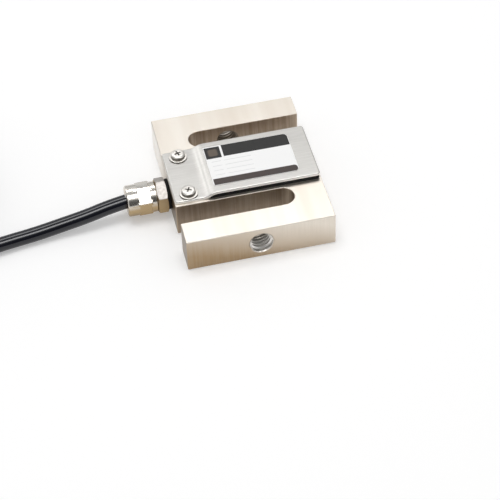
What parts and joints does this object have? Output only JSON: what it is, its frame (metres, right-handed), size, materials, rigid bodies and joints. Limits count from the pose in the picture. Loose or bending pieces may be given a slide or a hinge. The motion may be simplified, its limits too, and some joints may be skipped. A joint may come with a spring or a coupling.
{
  "type": "s-beam load cell",
  "caption": "S-shaped slotted steel force sensor with a tapped hole in each end, a screwed front cover with a label, and a cable led out through a side gland.",
  "frame": {"origin": "middle of the beam's plain back face, which lies on the surface", "axes": "+Y along the load axis towards the upper load thread, -X towards the side that the cable leaves from, +Z out of the labelled front"},
  "size_m": [0.1854, 0.09, 0.0213],
  "materials": {
    "nickel_plated_steel": "ground alloy steel, nickel plated, satin",
    "brushed_stainless": "fine brushed stainless sheet",
    "black_rubber": "soft black rubber",
    "label_film": "white film with black printed fields",
    "plated_screw_steel": "bright nickel-plated steel",
    "nickel_plated_brass": "bright nickel plating on brass",
    "bare_brass": "turned brass",
    "cable_jacket": "glossy black PVC",
    "tie_plastic": "black plastic",
    "gauge_film": "amber polyimide film with a foil grid",
    "enamelled_copper": "enamelled copper wire",
    "circuit_board": "green solder mask",
    "solder": "bright solder",
    "resistor_ceramic": "black coated ceramic",
    "shield_copper": "tinned copper braid, twisted",
    "core_red": "PVC insulation, tinned tip",
    "core_black": "PVC insulation, tinned tip",
    "core_green": "PVC insulation, tinned tip",
    "core_white": "PVC insulation, tinned tip"
  },
  "bodies": {
    "root": {"cable_coil": "cable_jacket", "cable_tail": "cable_jacket", "cable_tie_far": "tie_plastic", "cable_tie_near": "tie_plastic", "cover_plate": "brushed_stainless", "cover_screws": "plated_screw_steel", "cover_seal": "black_rubber", "elastic_body": "nickel_plated_steel", "end_core_black": "core_black", "end_core_green": "core_green", "end_core_red": "core_red", "end_core_white": "core_white", "end_shield": "shield_copper", "flat_washers": "plated_screw_steel", "gauge_leads_lower_left": "enamelled_copper", "gauge_leads_lower_right": "enamelled_copper", "gauge_leads_upper_left": "enamelled_copper", "gauge_leads_upper_right": "enamelled_copper", "gland_body": "nickel_plated_brass", "gland_bush": "black_rubber", "gland_cap_nut": "nickel_plated_brass", "gland_sealing_washer": "black_rubber", "gland_thrust_ring": "bare_brass", "inner_core_black": "core_black", "inner_core_green": "core_green", "inner_core_red": "core_red", "inner_core_white": "core_white", "rating_label": "label_film", "signal_cable": "cable_jacket", "solder_joints": "solder", "strain_gauge_lower_left": "gauge_film", "strain_gauge_lower_right": "gauge_film", "strain_gauge_upper_left": "gauge_film", "strain_gauge_upper_right": "gauge_film", "terminal_board": "circuit_board", "trim_resistors": "resistor_ceramic"}
  },
  "joints": []
}
